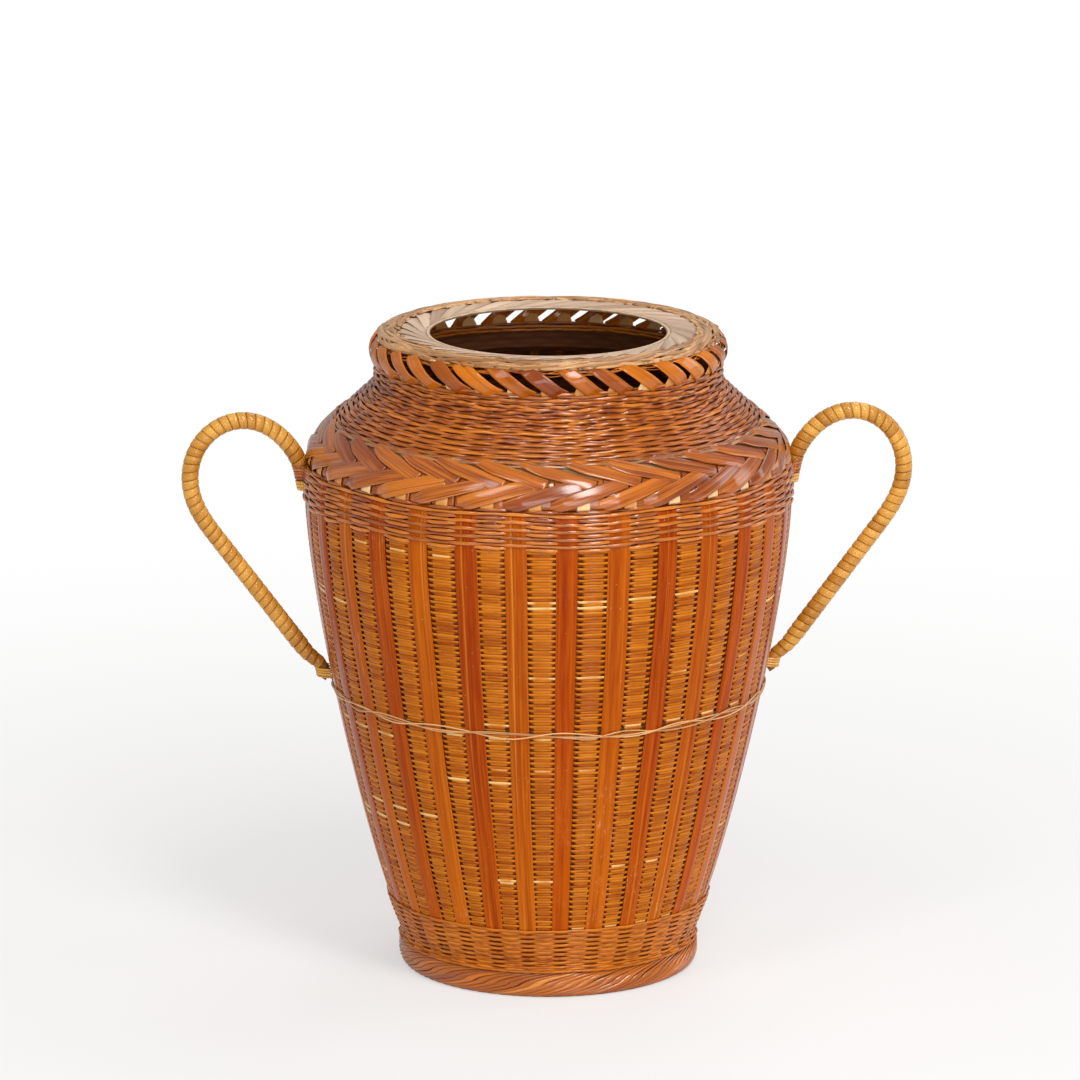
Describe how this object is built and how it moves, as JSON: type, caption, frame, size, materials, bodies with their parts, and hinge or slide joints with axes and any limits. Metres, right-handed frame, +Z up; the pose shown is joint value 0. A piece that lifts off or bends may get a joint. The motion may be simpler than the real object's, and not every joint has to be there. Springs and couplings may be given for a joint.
{
  "type": "woven vase",
  "caption": "Tall woven basket vase with flat vertical slats, a braided shoulder, an openwork rim and two cane-wrapped handles.",
  "frame": {"origin": "on the floor, on the body's upright axis, under the middle of the whole vase", "axes": "+Z up along the body's axis, +X from the left handle to the right handle, -Y towards the viewer"},
  "size_m": [0.339, 0.2276, 0.3],
  "materials": {
    "slat_dark": "glossy stained bamboo, red brown, fine lengthwise grain",
    "slat_light": "glossy stained bamboo, orange brown, fine lengthwise grain",
    "weft": "fine split weft, golden brown, satin",
    "strand": "round split strands, brown, glossy lacquer",
    "braid": "flat braided strips, red brown, glossy lacquer",
    "rim_strip": "thin plaited strips, brown, glossy lacquer",
    "cane": "golden cane peel, satin",
    "cane_rod": "plain cane rod, satin"
  },
  "bodies": {
    "root": {"base_weave": "weft", "foot_border": "strand", "lower_band": "strand", "body_wall": "weft", "waist_cord": "strand", "shoulder_band": "strand", "shoulder_braid": "braid", "neck_weave": "strand", "rim_openwork": "rim_strip", "rim_plait": "rim_strip", "rim_edge": "rim_strip", "slat_01": "slat_dark", "slat_02": "slat_light", "slat_03": "slat_dark", "slat_04": "slat_light", "slat_05": "slat_dark", "slat_06": "slat_light", "slat_07": "slat_dark", "slat_08": "slat_light", "slat_09": "slat_dark", "slat_10": "slat_light", "slat_11": "slat_dark", "slat_12": "slat_light", "slat_13": "slat_dark", "slat_14": "slat_light", "slat_15": "slat_dark", "slat_16": "slat_light", "slat_17": "slat_dark", "slat_18": "slat_light", "slat_19": "slat_dark", "slat_20": "slat_light", "slat_21": "slat_dark", "slat_22": "slat_light", "slat_23": "slat_dark", "slat_24": "slat_light", "slat_25": "slat_dark", "slat_26": "slat_light", "slat_27": "slat_dark", "slat_28": "slat_light", "slat_29": "slat_dark", "slat_30": "slat_light", "handle_rod_right": "cane_rod", "handle_wrap_right": "cane", "upper_tie_low_right": "cane", "upper_tie_high_right": "cane", "lower_tie_right": "cane", "handle_rod_left": "cane_rod", "handle_wrap_left": "cane", "upper_tie_low_left": "cane", "upper_tie_high_left": "cane", "lower_tie_left": "cane"}
  },
  "joints": []
}
